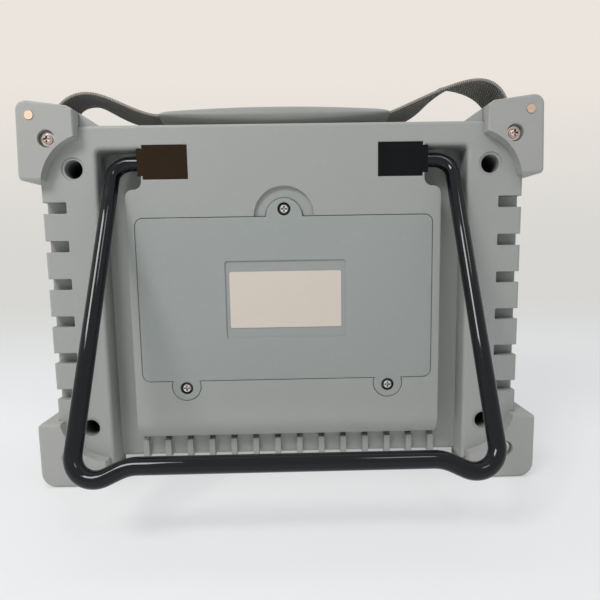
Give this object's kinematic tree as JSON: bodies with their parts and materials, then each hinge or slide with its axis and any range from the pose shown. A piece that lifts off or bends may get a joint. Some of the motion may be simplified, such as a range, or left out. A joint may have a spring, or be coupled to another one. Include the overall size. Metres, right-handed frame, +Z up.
{
  "type": "eddy current detector",
  "caption": "Portable eddy current detector: grey moulded case with corner guards, webbing handle, battery door and rod tilt stand.",
  "frame": {"origin": "middle of the part's bounding box at its base, where the lower guards stand", "axes": "+X along the case width, to the right of the stand side as seen from behind; +Y towards the screen; +Z up"},
  "size_m": [0.2842, 0.1595, 0.2337],
  "materials": {
    "case_grey": "fine texture",
    "guard_grey": "fine texture",
    "door_grey": "fine texture",
    "grip_grey": "satin",
    "cover_brown": "satin",
    "cover_black": "satin",
    "copper_steel": "satin",
    "steel": "satin",
    "sleeve_black": "gloss",
    "webbing": "woven",
    "seal_black": "matt",
    "label_white": "satin",
    "pack_blue": "satin",
    "brass": "satin",
    "window_clear": "gloss",
    "board_green": "satin",
    "key_dark": "matt",
    "key_red": "matt"
  },
  "bodies": {
    "case": {"rear_shell": "case_grey", "front_shell": "case_grey", "case_gasket": "seal_black", "rear_guard_top_left": "guard_grey", "rear_guard_top_right": "guard_grey", "rear_guard_bottom_left": "guard_grey", "rear_guard_bottom_right": "guard_grey", "front_guard_top_left": "guard_grey", "front_guard_top_right": "guard_grey", "front_guard_bottom_left": "guard_grey", "front_guard_bottom_right": "guard_grey", "rear_guard_screws": "copper_steel", "front_guard_screws": "copper_steel", "strap_pin_left": "copper_steel", "strap_pin_right": "copper_steel", "case_screws": "steel", "thread_inserts": "brass", "battery_door": "door_grey", "door_gasket": "seal_black", "door_screws": "steel", "label_plate": "label_white", "battery_pack": "pack_blue", "battery_pad": "seal_black", "battery_contacts": "brass", "pivot_cover_left": "cover_brown", "pivot_cover_right": "cover_black", "pivot_cover_screws": "steel", "strap_left": "webbing", "strap_right": "webbing", "display_window": "window_clear", "window_gasket": "seal_black", "display_module": "steel", "display_screws": "steel", "main_board": "board_green", "board_screws": "steel", "receiver_board": "board_green", "board_spacers": "brass", "key_board": "board_green", "key_board_screws": "steel", "probe_socket_upper": "steel", "probe_socket_lower": "steel", "socket_nuts": "steel", "power_socket": "sleeve_black", "usb_socket": "steel", "buzzer": "sleeve_black"},
    "stand": {"tilt_stand": "steel", "stand_sleeve": "sleeve_black"},
    "handle": {"handle_grip": "grip_grey"},
    "key_power_cap": {"key_power": "key_red"},
    "key_menu_cap": {"key_menu": "key_dark"},
    "key_gain_cap": {"key_gain": "key_dark"},
    "key_phase_cap": {"key_phase": "key_dark"},
    "key_up_cap": {"key_up": "key_dark"},
    "key_down_cap": {"key_down": "key_dark"},
    "key_left_cap": {"key_left": "key_dark"},
    "key_right_cap": {"key_right": "key_dark"},
    "key_enter_cap": {"key_enter": "key_dark"}
  },
  "joints": [
    {"name": "stand_tilt", "type": "hinge", "parent": "case", "child": "stand", "pos_m": [0, -0.00135, 0.1826], "axis": [-1, 0, 0], "range_deg": [-25, 83]},
    {"name": "handle_lift", "type": "slide", "parent": "case", "child": "handle", "axis": [0, 0, 1], "range_m": [0, 0.03], "deforming": ["strap_left", "strap_right"]},
    {"name": "key_power_press", "type": "slide", "parent": "case", "child": "key_power_cap", "axis": [0, -1, 0], "range_m": [0, 0.001], "stiffness_N_per_m": 300},
    {"name": "key_menu_press", "type": "slide", "parent": "case", "child": "key_menu_cap", "axis": [0, -1, 0], "range_m": [0, 0.001], "stiffness_N_per_m": 300},
    {"name": "key_gain_press", "type": "slide", "parent": "case", "child": "key_gain_cap", "axis": [0, -1, 0], "range_m": [0, 0.001], "stiffness_N_per_m": 300},
    {"name": "key_phase_press", "type": "slide", "parent": "case", "child": "key_phase_cap", "axis": [0, -1, 0], "range_m": [0, 0.001], "stiffness_N_per_m": 300},
    {"name": "key_up_press", "type": "slide", "parent": "case", "child": "key_up_cap", "axis": [0, -1, 0], "range_m": [0, 0.001], "stiffness_N_per_m": 300},
    {"name": "key_down_press", "type": "slide", "parent": "case", "child": "key_down_cap", "axis": [0, -1, 0], "range_m": [0, 0.001], "stiffness_N_per_m": 300},
    {"name": "key_left_press", "type": "slide", "parent": "case", "child": "key_left_cap", "axis": [0, -1, 0], "range_m": [0, 0.001], "stiffness_N_per_m": 300},
    {"name": "key_right_press", "type": "slide", "parent": "case", "child": "key_right_cap", "axis": [0, -1, 0], "range_m": [0, 0.001], "stiffness_N_per_m": 300},
    {"name": "key_enter_press", "type": "slide", "parent": "case", "child": "key_enter_cap", "axis": [0, -1, 0], "range_m": [0, 0.001], "stiffness_N_per_m": 300}
  ]
}
